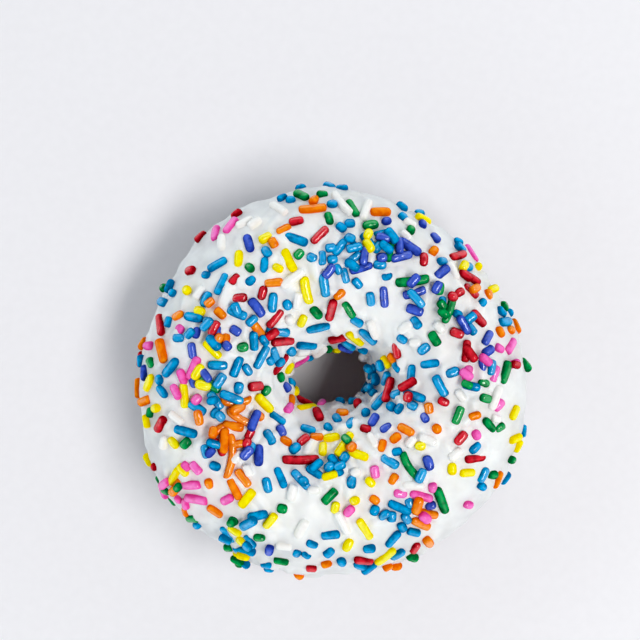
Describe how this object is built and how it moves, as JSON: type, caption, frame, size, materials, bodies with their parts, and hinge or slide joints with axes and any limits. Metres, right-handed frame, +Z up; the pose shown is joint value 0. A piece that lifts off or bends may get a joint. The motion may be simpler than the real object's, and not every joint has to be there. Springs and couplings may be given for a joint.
{
  "type": "sprinkle frosted doughnut",
  "caption": "Ring doughnut of dark chocolate cake under a thick cap of white icing, strewn with short rods of coloured sugar.",
  "frame": {"origin": "on the table, under the middle of the doughnut's outline", "axes": "+Z up through the hole; +X along the hole's long way, about ten degrees off it"},
  "size_m": [0.0831, 0.0809, 0.0326],
  "materials": {
    "cake": "dry, porous crumb",
    "icing": "soft satin sugar"
  },
  "bodies": {
    "root": {"cake_ring": "cake", "icing": "icing"}
  },
  "joints": []
}
